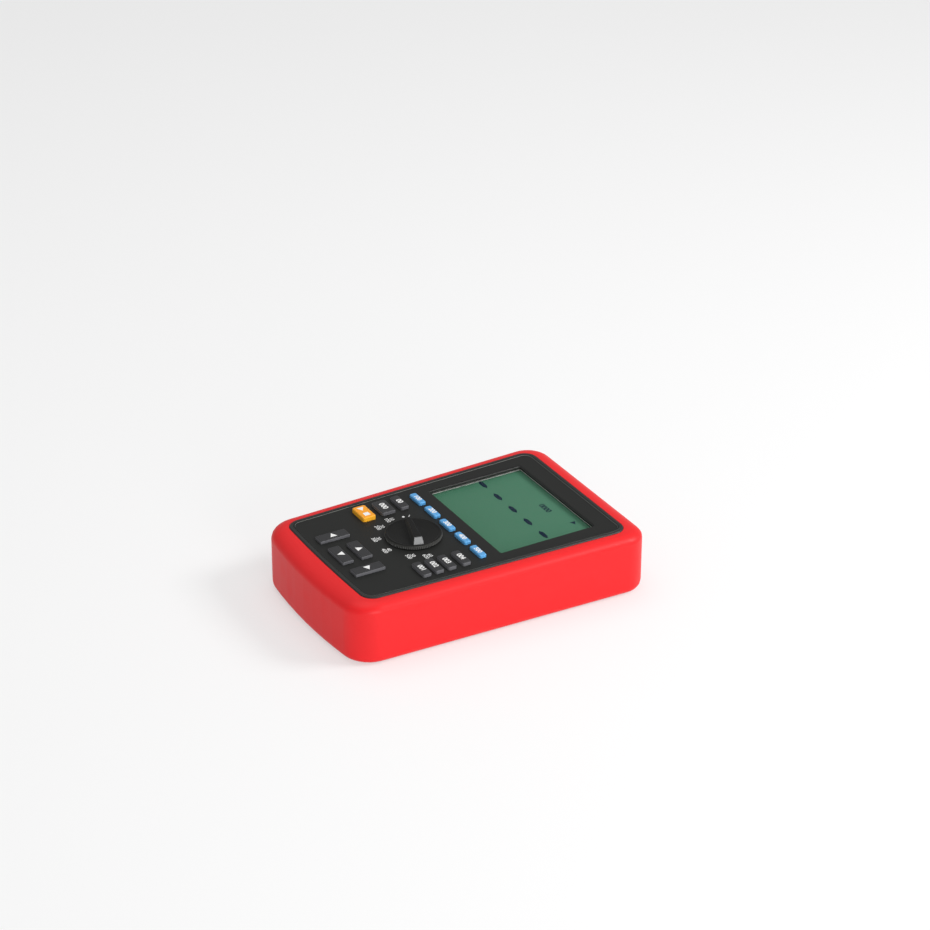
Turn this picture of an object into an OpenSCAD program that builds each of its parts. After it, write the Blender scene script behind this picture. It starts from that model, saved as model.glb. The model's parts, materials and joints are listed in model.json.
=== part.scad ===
// Micro ohmmeter lying on its back, in millimetres.
// X runs across the face, Y from the key end to the display end, Z out of the face.

/* [Panel and boot] */
// Half width of the dark panel at the key end
panel_half_bottom = 60.3; // [58:0.1:66]
// Half width of the dark panel at the display end
panel_half_top = 67.5; // [64:0.1:72]
// Height of the face above the table
face_z = 47; // [45:0.5:54]
// Corner radius of the panel
panel_corner_r = 10; // [7:0.5:12]
// Crown of the panel's edge at the key end
panel_crown = 1.2; // [0.5:0.1:2]
// Rubber rim beyond the panel at each long side
rim_side = 10; // [9.5:0.1:12]
// Rubber rim beyond the panel at the key end
rim_bottom = 14; // [13.5:0.1:18]
// Rubber rim beyond the panel at the display end
rim_top = 12.5; // [12:0.1:16]
// Fall of the rim from the panel to the long sides
rim_drop_side = 6; // [4:0.5:8]
// Fall of the rim from the panel to the key end
rim_drop_bottom = 8; // [6:0.5:11]
// Fall of the rim from the panel to the display end
rim_drop_top = 6.5; // [5:0.5:8]
// Corner radius of the boot at the key end
boot_corner_bottom = 22; // [18:0.5:25]
// Corner radius of the boot at the display end
boot_corner_top = 17; // [14:0.5:20]
// Crown of the boot's key end
boot_crown = 3; // [1.5:0.1:4]
// Rubber thickness beside the hard case
boot_wall_side = 3.3; // [2.5:0.1:4]
// Rubber thickness at the key end
boot_wall_bottom = 4.3; // [3:0.1:5]
// Rubber thickness at the display end
boot_wall_top = 3.8; // [3:0.1:5]
// Rubber thickness under the hard case
boot_back_t = 3; // [2.5:0.1:4]
// Rounding of the boot's back edge
boot_back_round = 6; // [4:0.5:8]
// Play between the boot and the hard case
boot_fit = 0.2; // [0.1:0.05:0.3]

/* [Hard case] */
// Wall of both shells
wall = 2.5; // [2:0.1:3]
// Thickness of the face plate
face_t = 2.4; // [2:0.1:3]
// Height of the joint between the two shells
parting_z = 26; // [25:0.5:27]
// Depth of the shoulder that the boot's lip covers
shoulder_drop = 4.2; // [3.8:0.1:4.6]
// Chamfer round both shells
shell_edge = 2; // [1:0.1:2.4]
// Chamfer round the panel, as high as the panel stands above the boot
panel_edge = 0.7; // [0.4:0.1:1]
// Width of the raised lip round the printed overlay
lip_w = 2.6; // [2:0.1:3.5]
// Depth of the overlay's recess
overlay_recess = 0.6; // [0.4:0.05:0.8]
// Thickness of the printed overlay
overlay_t = 0.4; // [0.3:0.05:0.5]
// Section of the seal between the shells
gasket_w = 1; // [0.8:0.1:1.2]

/* [Face layout] */
// Centre of the arrow keys above the panel's lower edge
arrow_y = 19.8; // [19:0.1:23]
// From the arrow keys up to the knob
arrow_to_knob = 49.9; // [49:0.1:55]
// From the knob up to the row of blue keys
knob_to_blue = 27.2; // [26.5:0.1:31]
// From the blue keys up to the display window
blue_to_window = 13.9; // [13:0.1:16]
// Band above the display window
head_band = 18.1; // [17:0.1:28]
// Distance of the side key columns from the middle
column_x = 43.5; // [43:0.1:44.5]

/* [Keys] */
// Width and length of the orange key
orange_size = [17.5, 10]; // [8:0.1:18]
// Width and length of the lower gray key on the left
left_low_size = [17.2, 10.6]; // [8:0.1:18]
// Width and length of the upper gray key on the left
left_high_size = [17.2, 6.3]; // [5:0.1:18]
// Width and length of the gray keys on the right
right_size = [17.8, 6.3]; // [5:0.1:18]
// Width and length of the blue keys
blue_size = [15.5, 5.2]; // [4.5:0.1:17]
// Distance between blue keys
blue_pitch = 21.25; // [19.5:0.05:22]
// Width and length of the arrow keys above and below the middle
arrow_wide = [22.7, 8.5]; // [7:0.1:24]
// Width and length of the arrow keys left and right of the middle
arrow_tall = [8.9, 22.9]; // [8:0.1:24]
// Distance of the tall arrow keys from the middle
arrow_reach_x = 25.7; // [24.5:0.1:28]
// Distance of the wide arrow keys from the middle
arrow_reach_y = 7.3; // [6.8:0.1:9]
// Height of the orange key above the face
orange_h = 3; // [2:0.1:4]
// Height of the gray keys above the face
gray_h = 2.4; // [1.5:0.1:3]
// Height of the blue and arrow keys above the face
low_h = 2; // [1.5:0.1:3]
// Chamfer round the top of a key
key_edge = 0.5; // [0.2:0.1:0.7]
// Gap round a key in its hole
key_gap = 0.3; // [0.2:0.05:0.4]
// Travel of a key
key_travel = 1; // [0.6:0.1:1.2]
// Width of the flange that holds a key under the face
flange_w = 0.9; // [0.7:0.1:1.1]
// Thickness of that flange
flange_t = 1; // [0.8:0.1:1.2]

/* [Selector knob] */
// Radius of the knob's skirt
knob_r = 20; // [18:0.5:21]
// Height of the skirt above the face
skirt_h = 3.2; // [2.8:0.1:4.5]
// Height of the grip bar above the face
bar_h = 7.2; // [6.5:0.1:10]
// Width of the bar's crest at its pointer end
bar_tip_w = 2.2; // [1.5:0.1:4]
// Width of the bar's crest at its wide end
bar_end_w = 5.4; // [4.5:0.1:7]
// Angle of the pointer at rest, from the X axis
rest_angle = 163.5; // [155:0.5:170]
// Gap between the skirt and the face
knob_gap = 0.4; // [0.3:0.05:0.6]
// Radius of the knob's hub
hub_r = 6; // [5.5:0.1:7]
// Radius of the switch spindle
spindle_r = 3.5; // [3:0.1:4]
// Radial running clearance of the spindle
spindle_fit = 0.05; // [0.02:0.01:0.09]
// Radius of the switch rotor
rotor_r = 15; // [14:0.5:16]
// Number of stops in a full turn of the detent ring
detent_count = 12; // [8:1:16]

/* [Display] */
// Width of the display window
window_w = 101; // [94:0.1:104]
// Length of the display window
window_len = 75.6; // [66:0.1:78]
// Depth of the lens below the face
lens_depth = 2.6; // [2:0.1:2.8]
// Thickness of the clear lens
lens_t = 1.5; // [1.2:0.1:1.6]
// Ledge of the lens under the window's edge
lens_ledge = 2; // [1.5:0.1:2.5]
// Thickness of the display glass
glass_t = 2.2; // [1.8:0.1:2.4]
// Chamfer round the window
window_bevel = 0.5; // [0.2:0.1:0.8]

/* [Boards] */
// Thickness of the circuit boards
board_t = 1.6; // [1.2:0.1:2]
// Depth of the main board's top under the face
board_drop = 8; // [7.8:0.1:8.6]
// Height of the power board above the table
power_board_z = 13; // [12:0.5:14]
// Width and length of the power board
power_board_size = [104, 62]; // [56:1:108]

/* [Battery] */
// Width, length and height of the battery pack
pack_size = [62, 52, 17]; // [15:0.5:66]
// Room round the battery pack
pack_room = 1; // [0.5:0.1:1.5]
// Distance of the battery bay's middle from the panel's lower edge
bay_y = 36; // [35:0.5:37]

/* [Tilt stand] */
// Width of the stand
stand_w = 88; // [70:1:92]
// Length of the stand from its hinge
stand_len = 92; // [80:1:94]
// Thickness of the stand
stand_t = 3.5; // [3:0.1:3.8]
// Gap round the folded stand
stand_gap = 0.5; // [0.4:0.05:0.7]
// Radius of the hinge pins
stand_pin_r = 1.25; // [1:0.05:1.4]
// Length of each hinge pin
stand_pin_len = 3.2; // [2.5:0.1:3.5]
// Distance of the hinge below the panel's upper edge
hinge_from_top = 33; // [32:0.5:36]
// Length of the finger notch at the stand's foot
notch_len = 10; // [8:0.5:11]
// Width of the finger notch
notch_w = 28; // [24:1:36]

/* [Terminals] */
// Distance between sockets
socket_pitch = 19; // [18:0.1:20]
// Radius of the plug's contact bore
plug_r = 2.05; // [2:0.01:2.1]
// Wall of the contact tube
contact_wall = 0.5; // [0.4:0.05:0.6]
// Outer radius of a socket's insulating body
socket_r = 6.6; // [6.2:0.1:7]
// Depth of the plug's shroud groove
groove_depth = 18; // [14:0.5:20]
// Width of the shroud groove
groove_w = 1.4; // [1.2:0.1:1.6]
// Height of the sockets above the table
socket_z = 23.5; // [22.5:0.5:24.5]
// Distance of the supply and data ports from the middle
port_x = 51; // [50:0.5:53]
// Width and height of the data port's shell
usb_size = [12, 11]; // [10:0.1:12.5]
// Outer side of the supply jack
jack_size = 11; // [10:0.1:12]
// Radius of the supply jack's hole
jack_r = 2.8; // [2.5:0.1:3.2]

/* [Hidden] */

$fn = 48;
// Overrun of cuts
over = 1;
// Thickness of the thin slices that hulls join
slice_t = 0.02;
// Turn in degrees between the points of a large rounded corner and of a small one
corner_turn = 11.25;
small_turn = 22.5;
// Slices over the falling rim and round the back edge
rim_steps = 8;
// Free play round pieces that drop into a seat
seat_fit = 0.1;
// Play of the panel in the boot's lip
panel_fit = 0.2;
// Play round a screw's thread and round the stand's hinge pins
thread_fit = 0.05;
pin_fit = 0.05;

panel_len = arrow_y + arrow_to_knob + knob_to_blue + blue_to_window + window_len + head_band;
case_len = panel_len + rim_bottom + rim_top + boot_crown;
panel_y = -case_len / 2 + boot_crown + rim_bottom;
panel_top_y = panel_y + panel_len;
knob_y = panel_y + arrow_y + arrow_to_knob;
blue_y = knob_y + knob_to_blue;
window_y = blue_y + blue_to_window + window_len / 2;
shell_side = rim_side - boot_wall_side - boot_fit;
shell_bottom = rim_bottom - boot_wall_bottom - boot_fit;
shell_top = rim_top - boot_wall_top - boot_fit;
shell_corner_bottom = boot_corner_bottom - boot_wall_bottom - boot_fit;
shell_corner_top = boot_corner_top - boot_wall_top - boot_fit;
boot_z = face_z - panel_edge;
shoulder_z = face_z - shoulder_drop;
shell_z = boot_back_t + boot_fit;
ceiling_z = face_z - overlay_recess - face_t;
overlay_z = face_z - overlay_recess;
board_z = face_z - board_drop - board_t;
board_top = board_z + board_t;
end_y = panel_top_y + shell_top;

// Half width of the panel at a place along its length
function half_w(y) = panel_half_bottom
    + (panel_half_top - panel_half_bottom) * (y - panel_y) / panel_len;
// Angle of the outward normal of an edge that runs round an outline to the left
function normal(a, b) = atan2(b[1] - a[1], b[0] - a[0]) - 90;
function after(a0, a1) = a1 < a0 ? a1 + 360 : a1;
function arc(c, r, a0, a1, n) = [for (i = [0:n]) let (a = a0 + (a1 - a0) * i / n)
    [c[0] + r * cos(a), c[1] + r * sin(a)]];
// Outline with an arc of radius rs[i] round each centre pts[i]
function rounded(pts, rs, turn = corner_turn) = [for (i = [0:len(pts) - 1])
    let (m = len(pts), b = pts[i], a0 = normal(pts[(i + m - 1) % m], b),
         a1 = after(a0, normal(b, pts[(i + 1) % m])))
    each arc(b, rs[i], a0, a1, max(1, round((a1 - a0) / turn)))];
// Tapered outline of the panel, grown by a margin at each side and each end, with a crowned key end
crown_shares = [-1:0.25:1];
function outline(side, bottom, top, r_bottom, r_top, crown) =
    let (y0 = panel_y - bottom + r_bottom, y1 = panel_top_y + top - r_top,
         x0 = half_w(y0) + side - r_bottom, x1 = half_w(y1) + side - r_top)
    rounded(concat([for (t = crown_shares) [x0 * t, y0 - crown * (1 - t * t)]],
                   [[x1, y1], [-x1, y1]]),
            concat([for (t = crown_shares) r_bottom], [r_top, r_top]));
function panel_outline(grow) = outline(grow, grow, grow, panel_corner_r + grow,
    panel_corner_r + grow, panel_crown);
function shell_outline(grow) = outline(shell_side + grow, shell_bottom + grow, shell_top + grow,
    shell_corner_bottom + grow, shell_corner_top + grow, boot_crown);
function boot_outline(grow) = outline(rim_side + grow, rim_bottom + grow, rim_top + grow,
    boot_corner_bottom + grow, boot_corner_top + grow, boot_crown);
function box_outline(size, r, turn = small_turn) = let (x = size[0] / 2 - r, y = size[1] / 2 - r)
    rounded([[-x, -y], [x, -y], [x, y], [-x, y]], [r, r, r, r], turn);
// Share of a rim's width that is reached at a depth below its top
function rim_at(depth, drop) = depth >= drop ? 1 : sqrt(1 - pow(1 - depth / drop, 2));
function rim_outline(depth) =
    let (s = rim_at(depth, rim_drop_side), b = rim_at(depth, rim_drop_bottom),
         t = rim_at(depth, rim_drop_top))
    outline(rim_side * s, rim_bottom * b, rim_top * t,
            panel_corner_r + (boot_corner_bottom - panel_corner_r) * b,
            panel_corner_r + (boot_corner_top - panel_corner_r) * t,
            panel_crown + (boot_crown - panel_crown) * b);

module slab(z0, z1, points) translate([0, 0, z0]) linear_extrude(height = z1 - z0) polygon(points);
module slice(z, points) slab(z - slice_t, z, points);
module tube(r, z0, z1) translate([0, 0, z0]) cylinder(r = r, h = z1 - z0);
module box(x, y, z) translate([x[0], y[0], z[0]]) cube([x[1] - x[0], y[1] - y[0], z[1] - z[0]]);
module at(p) translate([p[0], p[1], 0]) children();
module at_each(points) for (p = points) at(p) children();

// Places of the case screws, which bosses of both shells share
boss_r = 4;
boss_inset = 7.2;
screw_y_shares = [-0.42, 0, 0.4];
screw_x_in_shares = [0.6, 0, 0];
function screw_x(i) = half_w(case_len * screw_y_shares[i]) + shell_side - boss_inset
    - boss_inset * screw_x_in_shares[i];
case_screw_places = [for (s = [-1, 1], i = [0:2]) [s * screw_x(i), case_len * screw_y_shares[i]]];

// Keys: place, size, corner radius and height above the face
key_corner = 1.2;
sharp_corner = 0.5;
left_y_shares = [-0.59, 0.005, 0.49];
right_y_shares = [-0.684, -0.327, 0.037, 0.452];
left_column_shares = [-0.98, -1, -1.015];
right_column_share = 1.03;
function left_place(i) = [column_x * left_column_shares[i],
    knob_y + knob_to_blue * left_y_shares[i]];
function right_place(i) = [column_x * right_column_share, knob_y + knob_to_blue * right_y_shares[i]];
arrow_mid = [0, panel_y + arrow_y];
keys = concat(
    [[left_place(0), orange_size, key_corner, orange_h],
     [left_place(1), left_low_size, key_corner, gray_h],
     [left_place(2), left_high_size, key_corner, gray_h]],
    [for (i = [0:3]) [right_place(i), right_size, key_corner, gray_h]],
    [for (i = [-2:2]) [[i * blue_pitch, blue_y], blue_size, key_corner, low_h]],
    [[arrow_mid + [0, arrow_reach_y], arrow_wide, sharp_corner, low_h],
     [arrow_mid - [0, arrow_reach_y], arrow_wide, sharp_corner, low_h],
     [arrow_mid - [arrow_reach_x, 0], arrow_tall, sharp_corner, low_h],
     [arrow_mid + [arrow_reach_x, 0], arrow_tall, sharp_corner, low_h]]);
flange_top = ceiling_z - key_gap;
flange_z = flange_top - flange_t;

module key_hole(k, grow, z0, z1) at(k[0])
    slab(z0, z1, box_outline(k[1] + [2, 2] * grow, k[2] + grow));

module key(i) {
    k = keys[i];
    top = face_z + k[3];
    at(k[0]) {
        hull() {
            slab(flange_top - slice_t, top - key_edge, box_outline(k[1], k[2]));
            slice(top, box_outline(k[1] - [2, 2] * key_edge, k[2]));
        }
        slab(flange_z, flange_top,
            box_outline(k[1] + [2, 2] * (key_gap + flange_w), k[2] + key_gap + flange_w));
    }
}

// Battery bay and tilt stand, on the back
plateau_gap = 0.3;
plateau_z = 0.8;
window_inset = 12;
bay_wall = 1.6;
bay_mid = panel_y + bay_y;
bay_in = [pack_size[0], pack_size[1]] + [2, 2] * pack_room;
door_ledge = 1.6;
door_size = bay_in - [2, 2] * door_ledge;
door_t = wall;
door_fit = 0.25;
bay_floor_z = plateau_z + wall;
pack_z = bay_floor_z + seat_fit;
bay_top_z = pack_z + pack_size[2];
hinge_y = panel_top_y - hinge_from_top;
stand_z = plateau_z + seat_fit * 2;
hinge_z = stand_z + stand_t / 2;
recess_z = stand_z + stand_t + stand_gap;
recess_top_z = recess_z + wall;
recess_wall = stand_pin_len + wall / 2;
stand_foot_y = hinge_y - stand_len;
recess_x = stand_w / 2 + stand_gap;
recess_y0 = stand_foot_y - stand_gap;
recess_y1 = hinge_y + stand_t / 2 + stand_gap;
notch_z = recess_z + wall / 2;
function window_outline(grow) = outline(shell_side - window_inset + grow,
    shell_bottom - window_inset + grow, shell_top - window_inset + grow,
    panel_corner_r + grow, panel_corner_r + grow, panel_crown);

// Ports and sockets in the display end
block_wall = 3;
block_w = 3 * socket_pitch + 2 * (socket_r + block_wall);
block_h = 2 * (socket_r + block_wall);
block_len = 12;
block_flange = 1.5;
block_out = 1;
socket_shares = [-1.5, -0.5, 0.5, 1.5];
sleeve_r = plug_r + contact_wall + seat_fit / 2 + contact_wall;
groove_r = sleeve_r + groove_w;
socket_len = groove_depth + block_wall;
socket_out_y = end_y + block_out;
port_margin = 1;
port_depth = 13;

// Whole of the hard case, before it is hollowed
module shell_body(grow) {
    hull() {
        slab(shell_z - grow, shell_z - grow + slice_t, shell_outline(grow - shell_edge));
        slab(shell_z + shell_edge, shoulder_z - shell_edge, shell_outline(grow));
        slice(shoulder_z + grow, shell_outline(grow - shell_edge));
    }
}

module end_windows(grow, y0, y1) {
    box([-block_w / 2 - grow, block_w / 2 + grow], [y0, y1],
        [socket_z - block_h / 2 - grow, socket_z + block_h / 2 + grow]);
    box([port_x - usb_size[0] / 2 - grow, port_x + usb_size[0] / 2 + grow], [y0, y1],
        [socket_z - usb_size[1] / 2 - grow, socket_z + usb_size[1] / 2 + grow]);
    box([-port_x - jack_size / 2 - grow, -port_x + jack_size / 2 + grow], [y0, y1],
        [socket_z - jack_size / 2 - grow, socket_z + jack_size / 2 + grow]);
}

module boot() color([0.86, 0.12, 0.14]) difference() {
    hull() {
        for (k = [0:rim_steps]) let (depth = rim_drop_bottom * (1 - cos(90 * k / rim_steps)))
            slice(boot_z - depth, rim_outline(depth));
        for (k = [0:rim_steps / 2]) let (a = 180 * k / rim_steps)
            slab(boot_back_round * (1 - cos(a)), boot_back_round * (1 - cos(a)) + slice_t,
                boot_outline(boot_back_round * (sin(a) - 1)));
    }
    shell_body(boot_fit);
    slab(shoulder_z, face_z + over, panel_outline(panel_fit));
    slab(-over, shell_z, window_outline(plateau_gap));
    end_windows(port_margin, end_y - over, end_y + rim_top);
}

module front_cover() color([0.2, 0.21, 0.21]) difference() {
    union() {
        difference() {
            union() {
                intersection() {
                    shell_body(0);
                    slab(parting_z, face_z, shell_outline(over));
                }
                hull() {
                    slab(shoulder_z - wall, boot_z, panel_outline(0));
                    slice(face_z, panel_outline(-panel_edge));
                }
            }
            slab(parting_z - over, shoulder_z - wall, shell_outline(-wall));
            slab(parting_z, ceiling_z, panel_outline(-wall));
        }
        at_each(case_screw_places) tube(boss_r, parting_z, shoulder_z - wall + seat_fit);
        at_each(board_screw_places) tube(board_boss_r, board_top, ceiling_z + seat_fit);
    }
    slab(overlay_z, face_z + over, panel_outline(-lip_w));
    at_each(case_screw_places) tube(screw_r + thread_fit, parting_z - over, screw_tip_z + seat_fit);
    at_each(board_screw_places)
        tube(small_screw_r + thread_fit, board_top - over, board_tip_z + seat_fit);
    for (k = keys) key_hole(k, key_gap, ceiling_z - over, face_z);
    at([0, knob_y]) tube(hub_r + key_gap, ceiling_z - over, face_z);
    at([0, window_y]) {
        slab(face_z - lens_depth - slice_t, overlay_z, box_outline([window_w, window_len], key_corner));
        hull() {
            slice(overlay_z - window_bevel, box_outline([window_w, window_len], key_corner));
            slice(overlay_z + slice_t,
                box_outline([window_w, window_len] + [2, 2] * window_bevel, key_corner));
        }
        slab(ceiling_z - over, face_z - lens_depth,
            box_outline([window_w, window_len] + [2, 2] * (lens_ledge + seat_fit), key_corner));
    }
    seal_groove();
    end_windows(seat_fit, end_y - wall - over, end_y + over);
    block_slot();
}

// Slot that holds the terminal block's flange in both shells
module block_slot() box([-block_w / 2 - block_flange, block_w / 2 + block_flange],
    [end_y - wall, end_y - wall + block_flange / 2],
    [socket_z - block_h / 2 - block_flange, socket_z + block_h / 2 + block_flange]);

module seal_ring(grow, z0, z1) difference() {
    slab(z0, z1, shell_outline(-wall / 2 + gasket_w / 2 + grow));
    slab(z0 - over, z1 + over, shell_outline(-wall / 2 - gasket_w / 2 - grow));
}
module seal_groove() seal_ring(thread_fit, parting_z - gasket_w / 2, parting_z + gasket_w / 2);
module case_seal() color([0.12, 0.12, 0.12]) difference() {
    seal_ring(0, parting_z - gasket_w / 2, parting_z + gasket_w / 2);
    end_windows(block_flange, end_y - wall - over, end_y + over);
}

module back_shell() color([0.17, 0.17, 0.17]) {
    difference() {
        union() {
            intersection() {
                shell_body(0);
                slab(shell_z - over, parting_z, shell_outline(over));
            }
            slab(plateau_z, shell_z + wall, window_outline(0));
        }
        difference() {
            slab(shell_z + wall, parting_z + over, shell_outline(-wall));
            box([-recess_x - recess_wall, recess_x + recess_wall],
                [recess_y0 - wall - notch_len, recess_y1 + wall], [shell_z, recess_top_z]);
            at([0, bay_mid]) slab(shell_z, bay_top_z,
                box_outline(bay_in + [2, 2] * bay_wall, key_corner));
            at_each(case_screw_places) tube(boss_r, shell_z, parting_z);
            at_each(power_screw_places) tube(board_boss_r, shell_z, power_board_z);
        }
        at([0, bay_mid]) {
            slab(bay_floor_z, bay_top_z + over, box_outline(bay_in, key_corner));
            slab(plateau_z - over, bay_floor_z + over,
                box_outline(door_size + [2, 2] * door_fit, key_corner));
        }
        at_each(door_screw_places) {
            tube(door_tab_r + door_fit, plateau_z - over, door_tab_z);
            tube(small_screw_r + thread_fit, 0, door_tip_z + seat_fit);
        }
        box([-recess_x, recess_x], [recess_y0, recess_y1], [plateau_z - over, recess_z]);
        box([-notch_w / 2, notch_w / 2], [recess_y0 - notch_len, recess_y0 + over],
            [plateau_z - over, notch_z]);
        translate([0, hinge_y, hinge_z]) rotate([0, 90, 0])
            cylinder(r = stand_pin_r + pin_fit, h = stand_w + 2 * (stand_pin_len + stand_gap),
                center = true);
        at_each(case_screw_places) {
            tube(screw_r + key_gap, 0, parting_z + over);
            tube(screw_head_r + key_gap, 0, head_seat_z);
        }
        at_each(power_screw_places)
            tube(small_screw_r + thread_fit, shell_z + wall, power_board_z + over);
        seal_groove();
        end_windows(seat_fit, end_y - wall - over, end_y + over);
        block_slot();
    }
}

module face_overlay() color([0.16, 0.17, 0.17]) difference() {
    slab(overlay_z, overlay_z + overlay_t, panel_outline(-lip_w - seat_fit));
    for (k = keys) key_hole(k, key_gap, overlay_z - over, face_z);
    at([0, knob_y]) tube(hub_r + key_gap, overlay_z - over, face_z);
    at([0, window_y]) slab(overlay_z - over, face_z,
        box_outline([window_w, window_len] + [2, 2] * window_bevel, key_corner));
}

// Display: clear lens, glass with its dashes, frame and rubber contact strips
lens_z = face_z - lens_depth - lens_t;
glass_room = 0.3;
glass_size = [window_w, window_len] + [1, 1] * lens_ledge;
glass_top = lens_z - glass_room;
glass_z = glass_top - glass_t;
frame_wall = 1.5;
dash_shares = [-0.455, -0.249, -0.043, 0.163, 0.369];
dash_y_share = 0.056;
dash_size = [11.8, 3.4];
dash_t = 0.1;
strip_w = 2.4;

module window_lens() color([0.75, 0.85, 0.8, 0.35]) at([0, window_y])
    slab(lens_z, lens_z + lens_t, box_outline([window_w, window_len] + [2, 2] * lens_ledge,
        key_corner));
module display_glass() color([0.33, 0.5, 0.4]) at([0, window_y])
    slab(glass_z, glass_top, box_outline(glass_size, sharp_corner));
module display_segments() color([0.05, 0.17, 0.28])
    for (s = dash_shares) at([s * window_w, window_y + dash_y_share * window_len])
        translate([0, 0, glass_top]) linear_extrude(height = dash_t) polygon(
            [[-dash_size[0] / 2, 0], [-dash_size[0] / 4, -dash_size[1] / 2],
             [dash_size[0] / 4, -dash_size[1] / 2], [dash_size[0] / 2, 0],
             [dash_size[0] / 4, dash_size[1] / 2], [-dash_size[0] / 4, dash_size[1] / 2]]);
module display_frame() color([0.9, 0.9, 0.88]) at([0, window_y]) difference() {
    slab(board_top, lens_z, box_outline(glass_size + [2, 2] * frame_wall, key_corner));
    slab(glass_z, lens_z + over, box_outline(glass_size + [2, 2] * seat_fit, sharp_corner));
    box([-window_w / 2 + frame_wall, window_w / 2 - frame_wall],
        [-glass_size[1] / 2, -glass_size[1] / 2 + strip_w], [board_top - over, glass_z + over]);
    box([-window_w / 2 + frame_wall, window_w / 2 - frame_wall],
        [glass_size[1] / 2 - strip_w, glass_size[1] / 2], [board_top - over, glass_z + over]);
}
module contact_strips() color([0.85, 0.45, 0.55]) at([0, window_y]) for (s = [-1, 1])
    translate([0, s * (glass_size[1] - strip_w) / 2, 0])
        slab(board_top, glass_z, box_outline([window_w - 2 * frame_wall, strip_w]
            - [2, 2] * seat_fit, thread_fit));

// Main board, keypad mat and the selector switch
screw_r = 1.5;
screw_head_r = 2.9;
screw_head_h = 2;
head_seat_z = parting_z / 2;
screw_reach = 8.7;
screw_tip_z = parting_z + screw_reach;
small_screw_r = 1;
small_head_r = 1.9;
small_head_h = 1.2;
board_boss_r = 2.6;
board_inset = 1;
board_tip_z = ceiling_z - small_head_h;
board_x_shares = [0.9, 0.9, 0.85];
board_y_shares = [-0.38, 0.02, 0.43];
board_screw_places = [for (s = [-1, 1], i = [0:2]) [s * board_x_shares[i]
    * half_w(case_len * board_y_shares[i]), case_len * board_y_shares[i]]];
power_mid_y = end_y - wall - block_len - power_board_size[1] / 2 - socket_len / 2;
power_screw_places = [for (s = [-1, 1], t = [-1, 1])
    [s * (power_board_size[0] / 2 - board_boss_r), power_mid_y
        + t * (power_board_size[1] / 2 - board_boss_r)]];
door_tab_r = 3.4;
door_tab_z = plateau_z + wall / 2;
door_screw_reach = 5;
door_tip_z = door_tab_z + door_screw_reach;
door_screw_places = [for (s = [-1, 1])
    [s * door_size[0] / 4, bay_mid - door_size[1] / 2 - door_tab_r / 2]];
mat_t = 1;
mat_ring = 1.5;
dome_gap = 0.3;
rotor_t = 1.2;
wiper_t = 0.3;
pad_t = 0.1;
bush_r = 6.2;
bush_z = board_z - board_t;
detent_wall = 3.4;
detent_r = rotor_r + detent_wall;
detent_t = 3;
detent_nose_r = 1.4;
nose_reach = rotor_r - wiper_t + detent_nose_r;
wiper_shares = [0.55, 0.72, 0.89];
wiper_angles = [0, 120, 240];
rotor_z = board_top + pad_t + wiper_t * 2;

module main_board() color([0.1, 0.35, 0.2]) difference() {
    slab(board_z, board_top, shell_outline(-wall - board_inset));
    at_each(case_screw_places) tube(boss_r + board_inset / 2, board_z - over, board_top + over);
    at_each(board_screw_places) tube(small_screw_r + seat_fit, board_z - over, board_top + over);
    at([0, knob_y]) tube(bush_r + seat_fit, board_z - over, board_top + over);
}
chip_size = [14, 14];
chip_t = 1.8;
chip_shares = [[-0.25, 0.18], [0.2, 0.1], [0.3, 0.28], [-0.4, 0.3], [-0.05, 0.34]];
module board_chips() color([0.08, 0.08, 0.09])
    for (s = chip_shares) at([s[0] * 2 * panel_half_bottom, s[1] * panel_len])
        slab(board_z - chip_t, board_z, box_outline(chip_size * (1 - abs(s[0])), sharp_corner));

module keypad_mat() color([0.75, 0.75, 0.72]) {
    difference() {
        slab(board_top, board_top + mat_t, box_outline_at(mat_low, mat_high, key_corner));
        at([0, knob_y]) tube(detent_r + mat_ring, board_top - over, board_top + mat_t + over);
        at_each(board_screw_places)
            tube(board_boss_r + key_gap, board_top - over, board_top + mat_t + over);
        at_each(case_screw_places)
            tube(boss_r + key_gap, board_top - over, board_top + mat_t + over);
    }
    for (k = keys) at(k[0]) slab(board_top + mat_t - slice_t, flange_z - key_travel - dome_gap,
        box_outline(k[1] * dome_share, key_corner));
}
dome_share = 0.7;
mat_margin = 4;
mat_low = [-panel_half_bottom + mat_margin, panel_y + mat_margin];
mat_high = [panel_half_bottom - mat_margin, blue_y + blue_size[1]];
function box_outline_at(low, high, r) = [for (p = box_outline(high - low, r)) p + (low + high) / 2];

// Knob: a dished skirt with a grip bar that widens away from the pointer
skirt_z = face_z - overlay_recess + overlay_t + knob_gap;
skirt_top = face_z + skirt_h;
dish_z = skirt_top - skirt_h / 3;
bar_top = face_z + bar_h;
skirt_round = 1.2;
bar_flare = 0.9;
tip_flare = 1.4;
tip_reach_share = 0.93;
crest_reach_share = 0.72;
end_reach_share = 0.78;
foot_reach_share = 0.87;
tip_reach = knob_r * tip_reach_share;
crest_reach = knob_r * crest_reach_share;
end_reach = knob_r * end_reach_share;
foot_reach = knob_r * foot_reach_share;
marker_t = 0.8;
cap_t = 0.8;
bar_z = dish_z - cap_t / 2;

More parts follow.
